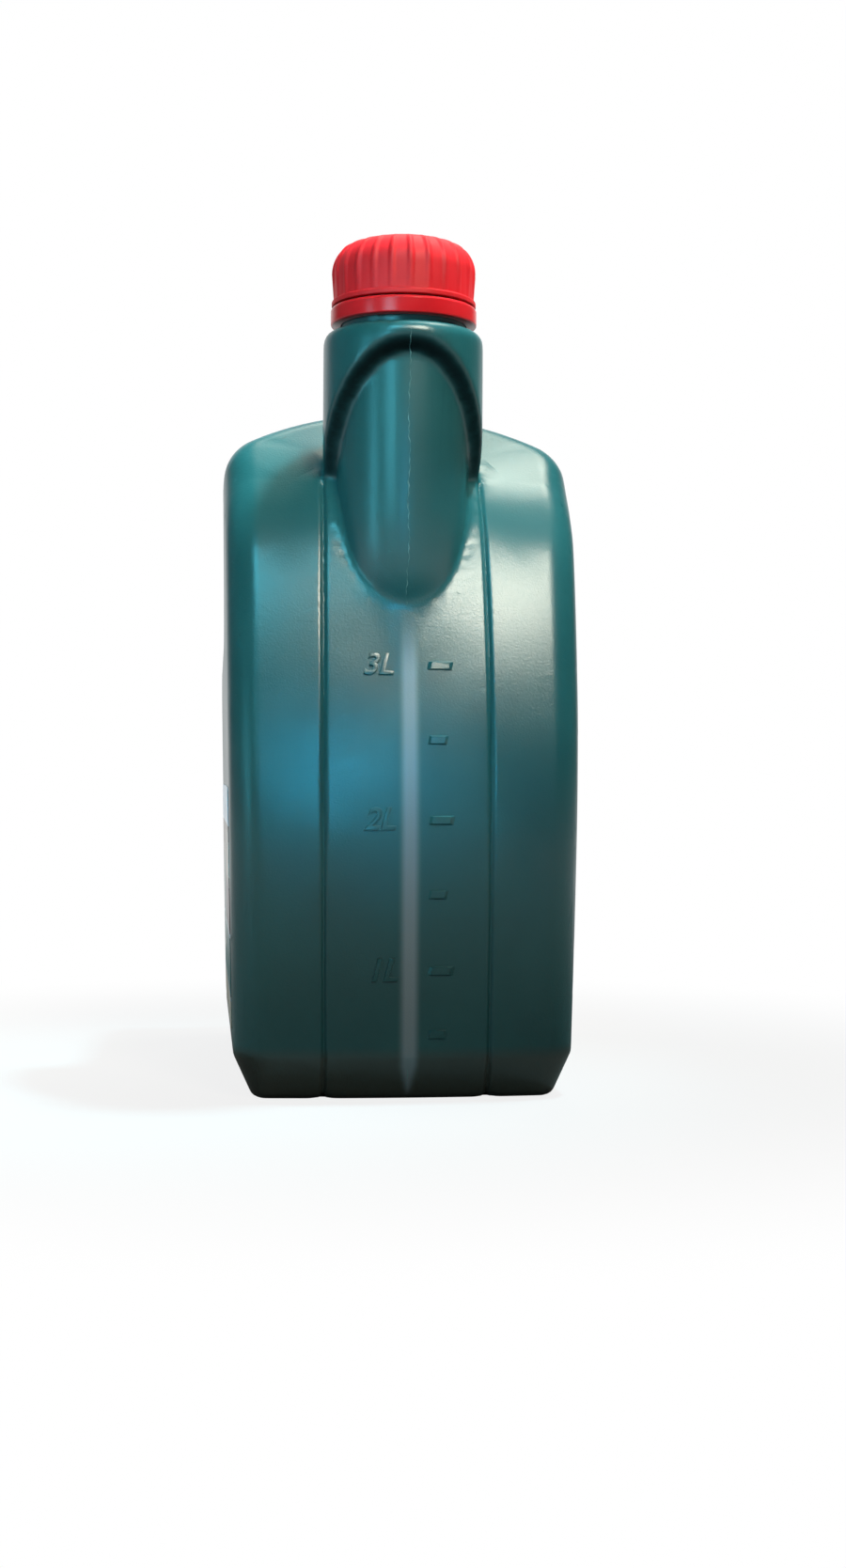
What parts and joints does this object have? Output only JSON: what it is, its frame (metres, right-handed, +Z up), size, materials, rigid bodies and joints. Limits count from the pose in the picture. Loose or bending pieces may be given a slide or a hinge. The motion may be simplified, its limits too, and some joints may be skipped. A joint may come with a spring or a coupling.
{
  "type": "motor oil bottle",
  "caption": "Blown plastic oil jug with a corner spout, sloped graduated front panel, hollow rear handle, ribbed screw cap, tamper band and side label.",
  "frame": {"origin": "centre of the base's bounding box, on the surface the bottle stands on", "axes": "+Z up through the cap, the spout's narrow graduated side faces -Y, the handle is towards +Y"},
  "size_m": [0.1232, 0.188, 0.2935],
  "materials": {
    "teal_plastic": "satin blown polyethylene with a fine moulded grain",
    "red_plastic": "satin moulded polypropylene",
    "liner_foam": "matt closed foam disc",
    "label_film": "printed film, semi-gloss"
  },
  "bodies": {
    "bottle": {"bottle": "teal_plastic", "tamper_band": "red_plastic", "side_label": "label_film"},
    "liner": {"cap_liner": "liner_foam"},
    "cap": {"screw_cap": "red_plastic"}
  },
  "joints": [
    {"name": "cap_lift", "type": "slide", "parent": "bottle", "child": "liner", "axis": [0, 0, 1], "range_m": [0, 0.0152]},
    {"name": "cap_turn", "type": "hinge", "parent": "liner", "child": "cap", "pos_m": [0, -0.066, 0.2713], "axis": [0, 0, 1], "range_deg": [0, 900]}
  ],
  "couplings": [
    {"joint": "cap_lift", "follows": "cap_turn", "m_per_rad": 0.00095493}
  ]
}
